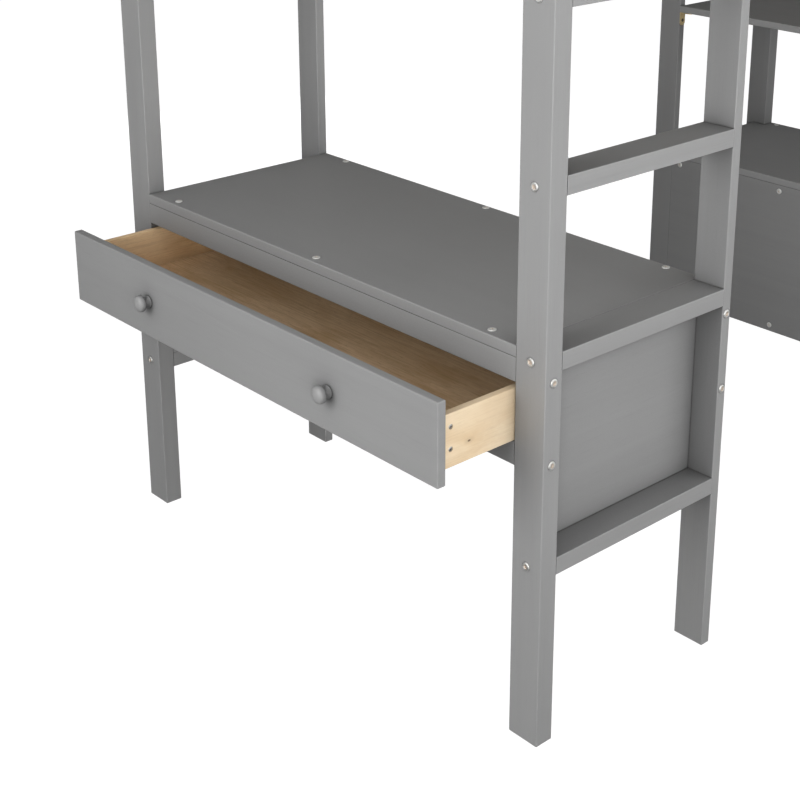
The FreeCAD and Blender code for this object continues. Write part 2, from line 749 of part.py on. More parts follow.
def bracket_shape():
    """An angle bracket: one leg down a post on x <= 0, one leg out under the shelf."""
    leg, width, thick = size("bracket_l"), size("bracket_w"), size("bracket_t")
    down = Part.makeBox(thick, width, leg, FreeCAD.Vector(0, -width / 2, -leg))
    out = Part.makeBox(leg, width, thick, FreeCAD.Vector(0, -width / 2, -thick))
    shape = down.fuse(out).removeSplitter()
    corners = []
    for edge in shape.Edges:
        box_ = edge.BoundBox
        at_foot = box_.ZMax < -leg + 0.01 and box_.XLength > thick - 0.01 and box_.YLength < 0.01
        at_tip = box_.XMin > leg - 0.01 and box_.ZLength > thick - 0.01 and box_.YLength < 0.01
        if at_foot or at_tip:
            corners.append(edge)
    shape = shape.makeFillet(width * 0.42, corners)
    hole_at = leg * 0.62
    radius = size("screw_r")
    across = Part.makeCylinder(radius, thick, FreeCAD.Vector(0, 0, -hole_at), FreeCAD.Vector(1, 0, 0))
    upright = Part.makeCylinder(radius, thick, FreeCAD.Vector(hole_at, 0, -thick))
    return shape.cut(across).cut(upright)


shelf_under = evaluate("shelf_top - shelf_t")
bracket_master = bracket_shape()
bracket_solids = []
bracket_screws = []
BRACKET_HOLE = "(bracket_l * 0.62)"
for y in ("(length_y - bay_d + inner_post_d / 2)", "(length_y - outer_post_d / 2)"):
    for x, sign, turn in (("post_w", "+", 0), (RIGHT_POST_X, "-", 180)):
        solid = bracket_master.copy()
        point = FreeCAD.Vector(evaluate(x), evaluate(y), shelf_under)
        solid.Placement = FreeCAD.Placement(point, FreeCAD.Rotation(FreeCAD.Vector(0, 0, 1), turn))
        bracket_solids.append(solid)
        away = "-x" if sign == "+" else "+x"
        face_x = "(%s %s bracket_t)" % (x, sign)
        bracket_screws.append((face_x, y, "(shelf_top - shelf_t - %s)" % BRACKET_HOLE, away))
        leg_x = "(%s %s %s)" % (x, sign, BRACKET_HOLE)
        bracket_screws.append((leg_x, y, "(shelf_top - shelf_t - bracket_t)", "+z"))
brackets = doc.addObject("Part::Feature", "shelf_brackets")
brackets.Shape = Part.makeCompound(bracket_solids)
finish(brackets, "shelf_brackets")

# ---------------------------------------------------------------------------
# Bed: side rails, end rails, ledgers, slats and the guard rails round them.

INNER_L = "(length_y - 2 * outer_post_d)"
RAIL_TOP_Z = "(bed_rail_z + bed_rail_h)"

for side, x in (("left", "0"), ("right", "(width_x - bed_rail_t)")):
    corner = (x, "outer_post_d", "bed_rail_z")
    timber("bed_side_rail_" + side, corner, ("bed_rail_t", INNER_L, "bed_rail_h"), "rail_ease", "y")

END_RAIL_FRONT_Y = "(outer_post_d / 2 - bed_rail_t / 2)"
END_RAIL_REAR_Y = "(length_y - outer_post_d / 2 - bed_rail_t / 2)"
for end, y in (("front", END_RAIL_FRONT_Y), ("rear", END_RAIL_REAR_Y)):
    corner = ("post_w", y, "bed_rail_z")
    timber("bed_end_rail_" + end, corner, (CLEAR_W, "bed_rail_t", "bed_rail_h"), "rail_ease", "x")


def group(label, members):
    """One sub-part made of separate solids of one kind."""
    compound = doc.addObject("Part::Compound", label + "_group")
    compound.Links = members
    return finish(compound, label)


ledgers = []
for side, x in (("left", "bed_rail_t"), ("right", "(width_x - bed_rail_t - ledger_w)")):
    stock = box("ledger_stock_" + side, (x, "outer_post_d", "bed_rail_z"), ("ledger_w", INNER_L, "ledger_h"))
    ledgers.append(eased(stock, "ledger_wood_" + side, "rail_ease", "y"))
group("slat_ledgers", ledgers)

slats = []
slat_total = int(size("slat_count"))
SLAT_PITCH = "((%s - slat_w - 40) / (slat_count - 1))" % INNER_L
for number in range(slat_total):
    slat_y = "(outer_post_d + 20 + %s * %d)" % (SLAT_PITCH, number)
    stock = box(
        "slat_stock_%d" % number,
        ("(bed_rail_t + 2)", slat_y, "(bed_rail_z + ledger_h)"),
        ("(width_x - 2 * bed_rail_t - 4)", "slat_w", "slat_t"),
    )
    slats.append(eased(stock, "slat_wood_%d" % number, "board_ease", "x"))
group("bed_slats", slats)


def guard_set(label, corner_at, sizes, axis):
    """Two guard rails, one above the other, drilled for their bolts."""
    rails = []
    for level, z in (("low", "guard_low_z"), ("high", "guard_high_z")):
        name = "%s_%s" % (label, level)
        corner = corner_at + (z,)
        wood = eased(box(name + "_stock", corner, sizes), name + "_wood", "rail_ease", axis)
        test = inside(corner, sizes)
        cutters = holes_for(name + "_y", lengthwise_bolts, BOLT_HOLE_R, LENGTHWISE_DEPTH, test)
        cutters += holes_for(name + "_x", crosswise_bolts, BOLT_HOLE_R, CROSSWISE_DEPTH, test)
        rails.append(cut(wood, name + "_drilled", cutters))
    group(label, rails)


ENTRY_Y = "(bay_d - inner_post_d)"
GUARD_Y = "(outer_post_d / 2 - guard_t / 2)"
guard_set("guard_rails_left", ("guard_inset", "outer_post_d"), ("guard_t", INNER_L, "guard_h"), "y")
guard_set(
    "guard_rails_right",
    ("(width_x - guard_inset - guard_t)", ENTRY_Y),
    ("guard_t", "(length_y - outer_post_d - %s)" % ENTRY_Y, "guard_h"),
    "y",
)
guard_set("guard_rails_front", ("post_w", GUARD_Y), (CLEAR_W, "guard_t", "guard_h"), "x")
guard_set(
    "guard_rails_rear",
    ("post_w", "(length_y - outer_post_d / 2 - guard_t / 2)"),
    (CLEAR_W, "guard_t", "guard_h"),
    "x",
)

STILE_Z = "(bed_rail_z + ledger_h + slat_t + 3)"
STILE_H = "(guard_high_z + guard_h - %s)" % STILE_Z
stiles = []
for name, x, y in (
    ("entry", "(width_x - bed_rail_t - stile_t)", ENTRY_Y),
    ("right", "(width_x - bed_rail_t - stile_t)", "(length_y - %s) / 2 + %s" % (ENTRY_Y, ENTRY_Y)),
    ("left", "bed_rail_t", "(length_y - stile_w) / 2"),
):
    stock = box("stile_stock_" + name, (x, y, STILE_Z), ("stile_t", "stile_w", STILE_H))
    stiles.append(eased(stock, "stile_wood_" + name, "rail_ease", "z"))
group("guard_stiles", stiles)

# ---------------------------------------------------------------------------
# The fasteners themselves.

HEAD_UP["+z"] = TURNS["-z"]

bolt_sizes = (size("bolt_head_r"), size("bolt_head_h"), size("bolt_r"))
socket_r = size("bolt_socket_r")
lengthwise_bolt = fastener(*bolt_sizes, evaluate(LENGTHWISE_DEPTH) - 2, socket_r)
crosswise_bolt = fastener(*bolt_sizes, evaluate(CROSSWISE_DEPTH) - 2, socket_r)
fastener_group("lengthwise_bolts", lengthwise_bolts, lengthwise_bolt)
fastener_group("crosswise_bolts", crosswise_bolts, crosswise_bolt)

screw_shank = size("screw_r") - size("bolt_play")
flat_head = (size("bolt_head_r"), size("bolt_head_h") * 0.8, screw_shank)
desk_screw = fastener(*flat_head, evaluate("desk_t + desk_rail_h - 12"), socket_r)
panel_screw = fastener(*flat_head, evaluate("panel_t + 14"), socket_r)
small_head = (size("screw_head_r"), size("screw_head_h"), screw_shank)
drawer_screw = fastener(*small_head, evaluate("box_side_t + 16"), 1.2)
knob_screw = fastener(*small_head, evaluate("front_t + knob_hole_d - 2"), 1.2)
bracket_screw = fastener(*small_head, size("bracket_t"), 1.2)

fastener_group("desk_screws", desk_screws, desk_screw)
fastener_group("cabinet_screws", panel_screws, panel_screw)
RECESSED = "screw_head_h"
sunk_screws = [
    ("(%s %s %s)" % (x, direction[0], RECESSED), y, z, direction)
    for x, y, z, direction in drawer_screws
]
fastener_group("drawer_screws", sunk_screws, drawer_screw)
knob_entries = [(x, FRONT_BACK_Y, "knob_z", "-y") for x in knob_places.values()]
fastener_group("knob_screws", knob_entries, knob_screw)
fastener_group("bracket_screws", bracket_screws, bracket_screw)

# ---------------------------------------------------------------------------
# Check everything, then write one STEP file for each sub-part.

doc.removeObject(probe.Name)
doc.recompute()

for item in doc.Objects:
    if "Invalid" in item.State or "Error" in item.State:
        raise RuntimeError("%s did not compute: %s" % (item.Label, item.State))

labels = [item.Label for item in subparts]
if len(set(labels)) != len(labels):
    raise RuntimeError("two sub-parts share a name")

for item in subparts:
    if item.Shape.isNull() or not item.Shape.isValid():
        raise RuntimeError("%s has no valid shape" % item.Label)

os.makedirs("parts", exist_ok=True)
for item in subparts:
    item.Shape.exportStep("parts/%s.step" % item.Label)
print("%d sub-parts written" % len(subparts))
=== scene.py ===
import math

import bmesh
import bpy
from mathutils import Matrix, Vector


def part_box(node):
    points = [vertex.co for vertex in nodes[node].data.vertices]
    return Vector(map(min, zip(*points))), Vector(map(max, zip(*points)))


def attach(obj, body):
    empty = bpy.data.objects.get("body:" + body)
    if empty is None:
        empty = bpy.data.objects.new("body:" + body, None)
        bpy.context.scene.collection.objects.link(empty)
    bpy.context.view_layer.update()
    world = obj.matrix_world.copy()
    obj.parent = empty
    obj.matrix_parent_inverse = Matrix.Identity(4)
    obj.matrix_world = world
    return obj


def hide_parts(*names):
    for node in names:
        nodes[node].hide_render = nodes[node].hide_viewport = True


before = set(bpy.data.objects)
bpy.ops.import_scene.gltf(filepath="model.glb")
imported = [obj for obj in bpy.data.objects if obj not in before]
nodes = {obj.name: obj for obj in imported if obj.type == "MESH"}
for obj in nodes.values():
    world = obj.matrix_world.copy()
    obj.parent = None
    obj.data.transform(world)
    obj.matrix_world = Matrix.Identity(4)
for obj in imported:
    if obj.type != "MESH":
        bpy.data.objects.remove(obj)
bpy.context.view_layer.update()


# ---------------------------------------------------------------------------
# Materials


class Graph:
    """A short way to write a material's node tree."""

    def __init__(self, name):
        self.material = bpy.data.materials.new(name)
        self.material.use_nodes = True
        self.tree = self.material.node_tree
        self.shader = self.tree.nodes["Principled BSDF"]

    def add(self, kind, inputs=(), **settings):
        node = self.tree.nodes.new(kind)
        for key, value in settings.items():
            setattr(node, key, value)
        for key, value in dict(inputs).items():
            if isinstance(value, bpy.types.NodeSocket):
                self.tree.links.new(value, node.inputs[key])
            else:
                node.inputs[key].default_value = value
        return node

    def link(self, source, target):
        self.tree.links.new(source, target)

    def place(self, scale, turn=(0, 0, 0)):
        """Object coordinates, stretched by a scale."""
        where = self.add("ShaderNodeTexCoord")
        inputs = {"Vector": where.outputs["Object"], "Scale": scale, "Rotation": turn}
        return self.add("ShaderNodeMapping", inputs).outputs["Vector"]

    def noise(self, vector, scale, detail=4.0, roughness=0.55, distortion=0.0):
        inputs = {
            "Vector": vector,
            "Scale": scale,
            "Detail": detail,
            "Roughness": roughness,
            "Distortion": distortion,
        }
        return self.add("ShaderNodeTexNoise", inputs).outputs["Fac"]

    def fit(self, value, low, high, to_low=0.0, to_high=1.0):
        inputs = {"Value": value, "From Min": low, "From Max": high, "To Min": to_low, "To Max": to_high}
        return self.add("ShaderNodeMapRange", inputs).outputs["Result"]

    def math(self, operation, a, b=0.0):
        return self.add("ShaderNodeMath", {0: a, 1: b}, operation=operation).outputs[0]

    def mix(self, factor, a, b, blend="MIX"):
        node = self.add("ShaderNodeMix", data_type="RGBA", blend_type=blend)
        for socket, value in ((node.inputs[0], factor), (node.inputs[6], a), (node.inputs[7], b)):
            if isinstance(value, bpy.types.NodeSocket):
                self.link(value, socket)
            else:
                socket.default_value = value
        return node.outputs[2]

    def nook(self, reach):
        """How open the surface is: 1 out in the open, less in a joint or a corner."""
        return self.add("ShaderNodeAmbientOcclusion", {"Distance": reach}, samples=6).outputs["AO"]

    def edge(self, radius):
        """How near a sharp edge is: 0 on a flat face, more within the radius of an edge."""
        round_normal = self.add("ShaderNodeBevel", {"Radius": radius}, samples=4).outputs["Normal"]
        flat_normal = self.add("ShaderNodeNewGeometry").outputs["Normal"]
        inputs = {0: round_normal, 1: flat_normal}
        node = self.add("ShaderNodeVectorMath", inputs, operation="DOT_PRODUCT")
        return self.fit(node.outputs["Value"], 0.995, 0.82, 0.0, 1.0)

    def bump(self, height, strength, distance, below=None):
        node = self.add("ShaderNodeBump", {"Height": height, "Strength": strength, "Distance": distance})
        if below is not None:
            self.link(below, node.inputs["Normal"])
        return node.outputs["Normal"]


def stretched(axis, along, across):
    """A scale for each axis, small along the grain and large across it."""
    return tuple(along if name == axis else across for name in "xyz")


def grey(value):
    return (value, value, value, 1)


# The paint's darkest and lightest tone, then what its details are mixed with: pores, the painted
# highlight with edge wear, and the painted shade of joints, corners and enclosed spots.
PAINT_LOW = 0.300
PAINT_HIGH = 0.342
PORE_GREY = grey(0.26)
WORN_AND_HIGHLIGHT_GREY = grey(0.62)
CORNER_SHADE_GREY = grey(0.13)
SHADE_GREY = grey(0.03)
JOINT_SHADE_GREY = grey(0.045)
EDGE_WEAR_AND_HIGHLIGHT_RADIUS = 0.0022


def painted(axis, name="grey_paint", depth=1.0):
    """Satin grey paint over timber whose grain shows faintly along one axis.

    depth scales how light the paint is; below 1 it gives a darker copy that is used as painted shade.
    The colour also holds a painted highlight along the edges and painted shade in the joints, corners
    and enclosed spots.
    """
    g = Graph("%s_%s" % (name, axis))
    grain = g.noise(g.place(stretched(axis, 1.2, 42.0)), 1.0, 5.0, 0.6, 0.35)
    pores = g.noise(g.place(stretched(axis, 14.0, 620.0)), 1.0, 3.0, 0.6)
    cloud = g.noise(g.place((1.0, 1.0, 1.0)), 2.6, 2.0, 0.5)
    skin = g.noise(g.place((1.0, 1.0, 1.0)), 1500.0, 2.0, 0.5)
    tone = g.math("ADD", g.fit(grain, 0.3, 0.7, 0.0, 0.55), g.fit(cloud, 0.3, 0.7, 0.0, 0.45))
    colour = g.mix(tone, grey(PAINT_LOW * depth), grey(PAINT_HIGH * depth))
    colour = g.mix(g.fit(pores, 0.60, 0.74, 0.0, 0.40), colour, PORE_GREY)
    # Painted highlight together with edge wear: within a few millimetres of an edge the paint is
    # lightened towards a pale grey.
    colour = g.mix(g.math("MULTIPLY", g.edge(EDGE_WEAR_AND_HIGHLIGHT_RADIUS), 0.38), colour, WORN_AND_HIGHLIGHT_GREY)
    # Painted shade: the paint is darkened in the joints, in the inner corners and, over a reach of 0.2
    # m, wherever the surface is enclosed, where shadow falls.
    joint = g.fit(g.nook(0.0035), 0.35, 0.95, 0.90, 0.0)
    corner = g.fit(g.nook(0.035), 0.3, 1.0, 0.24, 0.0)
    shade = g.fit(g.nook(0.20), 0.1, 1.0, 0.66, 0.0)
    colour = g.mix(corner, colour, CORNER_SHADE_GREY)
    colour = g.mix(shade, colour, SHADE_GREY)
    colour = g.mix(joint, colour, JOINT_SHADE_GREY)
    g.link(colour, g.shader.inputs["Base Color"])
    g.link(g.fit(grain, 0.3, 0.7, 0.40, 0.50), g.shader.inputs["Roughness"])
    normal = g.bump(grain, 0.12, 0.0006)
    normal = g.bump(pores, 0.10, 0.00012, normal)
    normal = g.bump(skin, 0.10, 0.00006, normal)
    g.link(normal, g.shader.inputs["Normal"])
    g.shader.inputs["IOR"].default_value = 1.46
    return g.material


KNOT_HEART = (0.16, 0.085, 0.04, 1)
# A knot's height over its length.
KNOT_STRETCH = 0.55


def darker(colour, share):
    return tuple(channel * share for channel in colour[:3]) + (1,)


def pine(name, axis, across, pale, warm, rings, knots=(), streaks=1.0, top_tint=0.0):
    """Bare pine: rings that wander along the grain, fibres, blotches, named knots and painted shade in
    its inner corners.

    across names the axis that the rings run over. A knot is (distance along the grain,
    distance across it, radius), on the face seen along the third axis. streaks is how
    strong the fibres and flecks are; the last argument is how far the faces that look
    upward are mixed towards a darker, warmer tone.
    """
    g = Graph(name)
    where = g.add("ShaderNodeTexCoord").outputs["Object"]
    split = g.add("ShaderNodeSeparateXYZ", {"Vector": where})
    spots = dict(zip("xyz", split.outputs))
    third = next(letter for letter in "xyz" if letter not in (axis, across))
    wander = g.noise(g.place(stretched(axis, 2.2, 12.0)), 1.0, 4.0, 0.6, 0.4)
    phase = g.math("MULTIPLY", spots[across], 95.0)
    phase = g.math("ADD", phase, g.math("MULTIPLY", spots[third], 33.0))
    phase = g.math("ADD", phase, g.math("MULTIPLY", wander, 9.0))
    near = None
    for along_at, across_at, radius in knots:
        run = g.math("MULTIPLY", g.math("SUBTRACT", spots[axis], along_at), KNOT_STRETCH / radius)
        rise = g.math("MULTIPLY", g.math("SUBTRACT", spots[across], across_at), 1.0 / radius)
        away = g.math("SQRT", g.math("ADD", g.math("POWER", run, 2.0), g.math("POWER", rise, 2.0)))
        near = away if near is None else g.math("MINIMUM", near, away)
    if near is not None:
        phase = g.math("ADD", phase, g.fit(near, 0.0, 6.0, 1.6, 0.0))
    ring = g.math("FRACT", phase)
    late = g.math("MULTIPLY", g.fit(ring, 0.30, 0.92, 0.0, 1.0), g.fit(ring, 0.92, 1.0, 1.0, 0.0))
    fibre = g.noise(g.place(stretched(axis, 9.0, 420.0)), 1.0, 4.0, 0.7)
    fleck = g.noise(g.place(stretched(axis, 60.0, 380.0)), 1.0, 4.0, 0.7)
    blotch = g.noise(g.place(stretched(axis, 5.0, 16.0)), 1.0, 4.0, 0.6, 0.6)
    fade = g.math("MULTIPLY", g.math("POWER", late, 1.6), g.fit(blotch, 0.35, 0.65, 0.2, 1.0))
    deep = darker(warm, 0.80)
    colour = g.mix(g.math("MULTIPLY", fade, rings), pale, warm)
    colour = g.mix(g.fit(blotch, 0.42, 0.66, 0.0, 0.75), colour, warm)
    colour = g.mix(g.fit(fibre, 0.48, 0.72, 0.0, 0.55 * streaks), colour, deep)
    colour = g.mix(g.fit(fleck, 0.56, 0.74, 0.0, 0.60 * streaks), colour, deep)
    # Faces that look upward are mixed towards the darker, warmer tone.
    if top_tint:
        facing = g.add("ShaderNodeNewGeometry").outputs["Normal"]
        upward = g.add("ShaderNodeSeparateXYZ", {"Vector": facing}).outputs["Z"]
        colour = g.mix(g.fit(upward, 0.5, 0.9, 0.0, top_tint), colour, deep)
    if near is not None:
        halo = g.fit(near, 1.0, 3.6, 0.45, 0.0)
        heart = g.fit(near, 0.55, 1.1, 0.95, 0.0)
        colour = g.mix(g.math("MULTIPLY", halo, g.fit(blotch, 0.3, 0.6, 0.5, 1.0)), colour, deep)
        colour = g.mix(heart, colour, KNOT_HEART)
    # Painted shade: the pine is darkened towards a deep brown in its inner corners and joints.
    corner = g.fit(g.nook(0.02), 0.2, 1.0, 0.45, 0.0)
    colour = g.mix(corner, colour, darker(warm, 0.35))
    g.link(colour, g.shader.inputs["Base Color"])
    g.link(g.fit(fibre, 0.3, 0.7, 0.55, 0.68), g.shader.inputs["Roughness"])
    normal = g.bump(fade, 0.10, 0.0002)
    normal = g.bump(fibre, 0.25, 0.00016, normal)
    g.link(normal, g.shader.inputs["Normal"])
    return g.material


def metal(name, base, stain, low, high, brushed=(300.0, 300.0, 300.0), shine=1.0):
    """Plated metal with faint brushing and dulled patches; shine is its metallic share."""
    g = Graph(name)
    lines = g.noise(g.place(brushed), 1.0, 4.0, 0.6)
    blot = g.noise(g.place((1.0, 1.0, 1.0)), 180.0, 3.0, 0.6)
    g.link(g.mix(g.fit(blot, 0.4, 0.75, 0.0, 0.6), base, stain), g.shader.inputs["Base Color"])
    g.link(g.fit(lines, 0.3, 0.7, low, high), g.shader.inputs["Roughness"])
    g.link(g.bump(lines, 0.15, 0.00004), g.shader.inputs["Normal"])
    g.shader.inputs["Metallic"].default_value = shine
    return g.material


STRAW = (0.91, 0.74, 0.52, 1)
HONEY = (0.77, 0.56, 0.33, 1)
SLAT = (0.78, 0.71, 0.60, 1)
SLAT_WARM = (0.66, 0.57, 0.45, 1)
AMBER = (0.98, 0.71, 0.425, 1)
AMBER_WARM = (0.81, 0.52, 0.26, 1)
BOARD = (0.82, 0.59, 0.365, 1)
BOARD_WARM = (0.60, 0.38, 0.19, 1)
RIGHT_KNOTS = [(-1.0015, 0.5401, 0.0019)]
LEFT_KNOTS = [(-0.955, 0.545, 0.003)]
SLAT_KNOTS = [(-0.31, 0.12, 0.006), (0.22, -0.35, 0.005), (0.05, 0.66, 0.007)]

paint = {axis: painted(axis) for axis in "xyz"}
# Painted shade: a darker copy of the paint, 0.87 as light, for the rear bay.
rear_shaded_paint = {axis: painted(axis, "rear_shaded_paint", 0.87) for axis in "xz"}
pine_right = pine("pine_right", "y", "z", STRAW, HONEY, 0.16, RIGHT_KNOTS, streaks=0.45, top_tint=0.36)
pine_left = pine("pine_left", "y", "z", AMBER, AMBER_WARM, 0.5, LEFT_KNOTS, streaks=1.15)
pine_board = pine("pine_board", "x", "y", BOARD, BOARD_WARM, 0.8, streaks=1.45)
pine_rail = pine("pine_rail", "y", "x", SLAT, SLAT_WARM, 0.5)
pine_slat = pine("pine_slat", "x", "y", SLAT, SLAT_WARM, 0.6, SLAT_KNOTS)
pine_block = pine("pine_block", "z", "x", STRAW, HONEY, 0.5)
zinc = metal("zinc", (0.88, 0.88, 0.86, 1), (0.72, 0.70, 0.67, 1), 0.46, 0.62)
socket_dark = metal("socket", (0.78, 0.70, 0.62, 1), (0.52, 0.45, 0.38, 1), 0.50, 0.65)
brass = metal("brass", (0.96, 0.80, 0.48, 1), (0.86, 0.66, 0.36, 1), 0.50, 0.66, (900.0, 900.0, 60.0))
cap_zinc = metal("cap_zinc", (0.86, 0.86, 0.84, 1), (0.70, 0.69, 0.66, 1), 0.46, 0.62, shine=0.5)
dull_steel = metal("dull_steel", (0.62, 0.60, 0.57, 1), (0.36, 0.34, 0.31, 1), 0.40, 0.55)
socket_brown = metal("socket_brown", (0.26, 0.23, 0.20, 1), (0.15, 0.13, 0.11, 1), 0.45, 0.60)
black_steel = metal("black_steel", (0.07, 0.06, 0.055, 1), (0.035, 0.03, 0.03, 1), 0.4, 0.6)

GRAIN = {
    "x": """desktop desk_front_upper_rail desk_front_lower_rail desk_rear_upper_rail
        desk_rear_lower_rail drawer_front cabinet_back_panel cabinet_cleats cabinet_floor
        cabinet_top_board upper_shelf bed_end_rail_front bed_end_rail_rear
        guard_rails_front guard_rails_rear""",
    "y": """ladder_rung_1 ladder_rung_2 ladder_rung_3 ladder_rung_4 left_low_rail
        desk_panel_left desk_panel_right cabinet_rail_left cabinet_rail_right
        cabinet_side_left cabinet_side_right bed_side_rail_left bed_side_rail_right
        guard_rails_left guard_rails_right""",
    "z": """post_front_left post_front_right post_rear_left post_rear_right
        desk_post_left desk_post_right cabinet_post_left cabinet_post_right
        cabinet_divider_left cabinet_divider_right guard_stiles""",
}


def dress(name, material):
    data = nodes[name].data
    data.materials.clear()
    data.materials.append(material)


for axis, names in GRAIN.items():
    for name in names.split():
        dress(name, paint[axis])
# The rear bay's posts and back panel take the darker copy of the paint, as painted shade.
for name in ("cabinet_post_left", "cabinet_post_right", "post_rear_left", "post_rear_right"):
    dress(name, rear_shaded_paint["z"])
dress("cabinet_back_panel", rear_shaded_paint["x"])
dress("drawer_side_left", pine_left)
dress("drawer_side_right", pine_right)
dress("drawer_back", pine_board)
dress("drawer_bottom", pine_board)
dress("drawer_corner_blocks", pine_block)
dress("bed_slats", pine_slat)
for name in ("drawer_runner_left", "drawer_runner_right", "slat_ledgers"):
    dress(name, pine_rail)
dress("shelf_brackets", brass)


# ---------------------------------------------------------------------------
# Fasteners: each CAD group is replaced by turned heads with real recesses


def islands(node):
    """The separate solids of a CAD node, each as a list of points."""
    mesh = bmesh.new()
    mesh.from_mesh(nodes[node].data)
    bmesh.ops.remove_doubles(mesh, verts=mesh.verts, dist=1e-6)
    left = set(mesh.verts)
    found = []
    while left:
        group = [left.pop()]
        for vert in group:
            for edge in vert.link_edges:
                other = edge.other_vert(vert)
                if other in left:
                    left.remove(other)
                    group.append(other)
        found.append([vert.co.copy() for vert in group])
    mesh.free()
    return sorted(found, key=lambda points: tuple(round(c, 4) for c in points_centre(points)))


def points_centre(points):
    return sum(points, Vector()) / len(points)


def seat(points):
    """Where a fastener's head sits, which way it looks, its radius and its shank's length."""
    low = Vector([min(p[i] for p in points) for i in range(3)])
    high = Vector([max(p[i] for p in points) for i in range(3)])
    span = high - low
    # A turned piece is equally wide over both axes across the one it is turned on.
    along = min(range(3), key=lambda i: abs(span[(i + 1) % 3] - span[(i + 2) % 3]))
    centre = (low + high) / 2
    widest = max(points, key=lambda p: (p - centre).length_squared - (p[along] - centre[along]) ** 2)
    out = Vector((0, 0, 0))
    out[along] = 1.0 if widest[along] > centre[along] else -1.0
    spot = centre.copy()
    spot[along] = widest[along]
    tip = low[along] if out[along] > 0 else high[along]
    return spot, out, span[(along + 1) % 3] / 2, abs(spot[along] - tip)


def hexagon(size):
    """Distance from the middle to a hexagon's edge, by angle."""

    def radius(angle):
        return size / math.cos(angle % (math.pi / 3) - math.pi / 6)

    return radius


def cross(arm, half):
    """Distance from the middle to the edge of a cross, by angle."""

    def radius(angle):
        off = (angle + math.pi / 4) % (math.pi / 2) - math.pi / 4
        if abs(off) < 1e-6:
            return arm
        return min(arm / math.cos(off), half / abs(math.sin(off)))

    return radius


MM = 0.001
TURNS = 48
SHARP_ANGLE = math.radians(35)
# The shank's share of the head's radius, and the degrees from one head's turn to the next.
SHANK_SHARE = 0.43
TWIST_STEP = 37
# A recess's width at its mouth and at its floor, and how far down its lip is, as shares.
SOCKET_MOUTH = 1.04
SOCKET_FLOOR = 0.82
SOCKET_LIP = 0.12

# A head is its outline, as (share of the radius, height), its recess and the recess's depth.
BOLT_HEAD = (
    [
        (1.0, 0.0),
        (1.0, 0.6 * MM),
        (0.94, 1.4 * MM),
        (0.84, 1.85 * MM),
        (0.72, 2.0 * MM),
        (0.66, 1.9 * MM),
    ],
    hexagon(3.6 * MM),
    1.5 * MM,
)
CAP_OUTLINE = [(1.0, 0.0), (1.0, 0.5 * MM), (0.92, 1.1 * MM), (0.75, 1.45 * MM), (0.5, 1.6 * MM)]
DESK_CAP_HEAD = (CAP_OUTLINE, cross(2.9 * MM, 0.75 * MM), 1.1 * MM)
PANEL_CAP_HEAD = (CAP_OUTLINE, cross(2.6 * MM, 0.7 * MM), 1.0 * MM)
SCREW_HEAD = (
    [(1.0, 0.0), (0.99, 0.25 * MM), (0.86, 0.75 * MM), (0.65, 1.1 * MM), (0.55, 1.2 * MM)],
    cross(1.9 * MM, 0.5 * MM),
    0.8 * MM,
)


def add_fastener(mesh, spot, out, rings, recess, depth, shank_r, shank_l, twist):
    """One head, as rings of (radius, height), with a recess and its shank."""
    base = Matrix.Translation(spot) @ out.to_track_quat("Z", "Y").to_matrix().to_4x4()
    base = base @ Matrix.Rotation(twist, 4, "Z")
    angles = [2 * math.pi * k / TURNS for k in range(TURNS)]
    top = rings[-1][1]
    outlines = [(lambda a, r=r: r, z) for r, z in [(shank_r, -shank_l), (shank_r, 0.0)] + rings]
    outlines.append((lambda a: recess(a) * SOCKET_MOUTH, top))
    outlines.append((recess, top - depth * SOCKET_LIP))
    outlines.append((lambda a: recess(a) * SOCKET_FLOOR, top - depth))
    loops = []
    for radius, z in outlines:
        points = [(radius(a) * math.cos(a), radius(a) * math.sin(a), z) for a in angles]
        loops.append([mesh.verts.new(base @ Vector(p)) for p in points])
    for number in range(len(loops) - 1):
        lower, upper = loops[number], loops[number + 1]
        for k in range(TURNS):
            nxt = (k + 1) % TURNS
            face = mesh.faces.new((lower[k], lower[nxt], upper[nxt], upper[k]))
            face.smooth = True
            if number >= len(loops) - 2:
                face.material_index = 1
                face.smooth = False
    floor_face = mesh.faces.new(loops[-1])
    floor_face.material_index = 1
    mesh.faces.new(list(reversed(loops[0])))


def fasteners(node, name, body, head, slots):
    """Replace a CAD group of fasteners by one mesh with every fastener in it.

    slots holds the head's material and then the recess's.
    """
    rings, recess, depth = head
    mesh = bmesh.new()
    for number, points in enumerate(islands(node)):
        spot, out, radius, shank = seat(points)
        scaled = [(share * radius, height) for share, height in rings]
        twist = math.radians(number * TWIST_STEP % 90)
        add_fastener(mesh, spot, out, scaled, recess, depth, radius * SHANK_SHARE, shank, twist)
    data = bpy.data.meshes.new(name)
    mesh.to_mesh(data)
    mesh.free()
    for material in slots:
        data.materials.append(material)
    piece = bpy.data.objects.new(name, data)
    bpy.context.scene.collection.objects.link(piece)
    split = piece.modifiers.new("edges", "EDGE_SPLIT")
    split.split_angle = SHARP_ANGLE
    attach(piece, body)
    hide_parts(node)


bolt_slots = [zinc, socket_dark]
cap_slots = [cap_zinc, socket_dark]
screw_slots = [dull_steel, socket_brown]
angle_slots = [black_steel, socket_dark]
fasteners("lengthwise_bolts", "rail_bolts", "frame", BOLT_HEAD, bolt_slots)
fasteners("crosswise_bolts", "side_bolts", "frame", BOLT_HEAD, bolt_slots)
fasteners("desk_screws", "desk_caps", "frame", DESK_CAP_HEAD, cap_slots)
fasteners("cabinet_screws", "panel_caps", "frame", PANEL_CAP_HEAD, cap_slots)
fasteners("drawer_screws", "side_screws", "drawer", SCREW_HEAD, screw_slots)
fasteners("knob_screws", "pull_screws", "drawer", SCREW_HEAD, bolt_slots)
fasteners("bracket_screws", "angle_screws", "frame", SCREW_HEAD, angle_slots)


